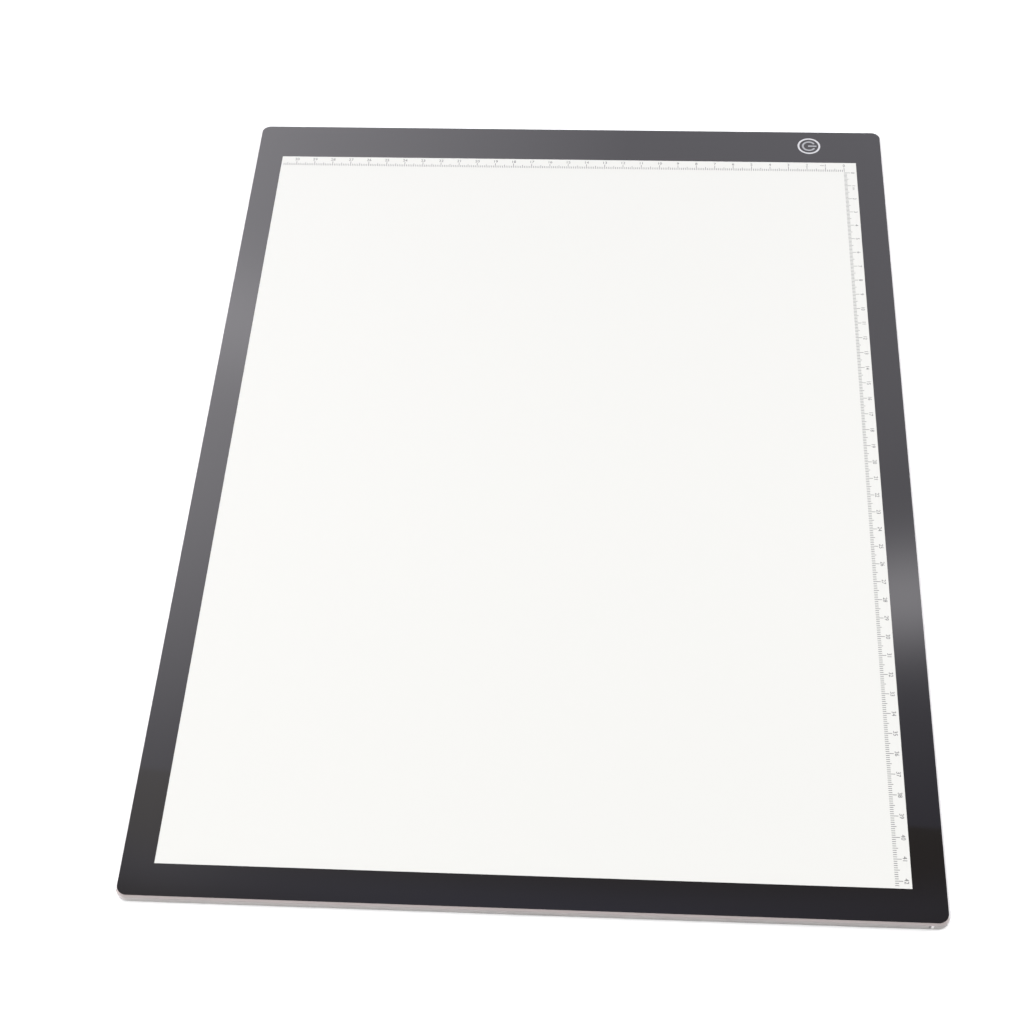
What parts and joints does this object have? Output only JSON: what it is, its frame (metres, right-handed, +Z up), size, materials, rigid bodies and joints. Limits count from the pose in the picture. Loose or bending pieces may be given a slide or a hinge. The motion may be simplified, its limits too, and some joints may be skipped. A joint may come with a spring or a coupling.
{
  "type": "light box",
  "caption": "Thin flat LED tracing pad: a milky glossy drawing window with printed centimetre rulers in a black border with a touch key, over an edge-lit light guide, on rubber feet.",
  "frame": {"origin": "on the table, under the middle of the pad, at the bottom of the rubber feet", "axes": "+X across the pad to the side with the long ruler, +Y along the pad towards the touch key's edge, +Z up out of the drawing face"},
  "size_m": [0.3446, 0.4716, 0.0045],
  "materials": {
    "border": "glossy black film with a soft reflection",
    "symbol": "glossy light grey print",
    "opal_panel": "glossy milky white acrylic, satin at its cut edge",
    "tape": "translucent adhesive tape",
    "edge_acrylic": "frosted acrylic with a faint pink-grey tint",
    "back_plastic": "finely textured white plastic sheet",
    "foot_rubber": "matt black rubber",
    "label": "blank silver-grey label",
    "diffuser": "matt white film",
    "light_guide": "clear acrylic with a printed dot pattern",
    "reflector": "bright white film",
    "white_board": "white solder mask",
    "led_body": "white moulded resin",
    "phosphor": "yellow phosphor resin",
    "green_board": "green solder mask",
    "foam": "grey foam",
    "socket_metal": "plated steel",
    "black_plastic": "matt black moulded plastic",
    "contact_metal": "gilded contacts",
    "capacitor": "fired ceramic with plated ends",
    "resistor": "black ceramic with plated ends",
    "red_wire": "red wire sleeve",
    "black_wire": "black wire sleeve",
    "solder": "bright solder"
  },
  "bodies": {
    "root": {"border_film": "border", "power_symbol": "symbol", "front_panel": "opal_panel", "front_tape": "tape", "left_edge_strip": "edge_acrylic", "right_edge_strip": "edge_acrylic", "near_edge_strip": "edge_acrylic", "far_edge_strip_long": "edge_acrylic", "far_edge_strip_short": "edge_acrylic", "back_tape": "tape", "back_cover": "back_plastic", "rubber_feet": "foot_rubber", "rating_label": "label", "diffuser_sheet": "diffuser", "light_guide_plate": "light_guide", "reflector_sheet": "reflector", "led_strip_board": "white_board", "led_bodies": "led_body", "led_phosphors": "phosphor", "control_board": "green_board", "board_tape": "foam", "socket_shell": "socket_metal", "socket_tongue": "black_plastic", "socket_contacts": "contact_metal", "touch_pad": "foam", "touch_chip": "black_plastic", "dimming_transistor": "black_plastic", "chip_capacitors": "capacitor", "chip_resistors": "resistor", "positive_wire": "red_wire", "negative_wire": "black_wire", "solder_joints": "solder"}
  },
  "joints": []
}
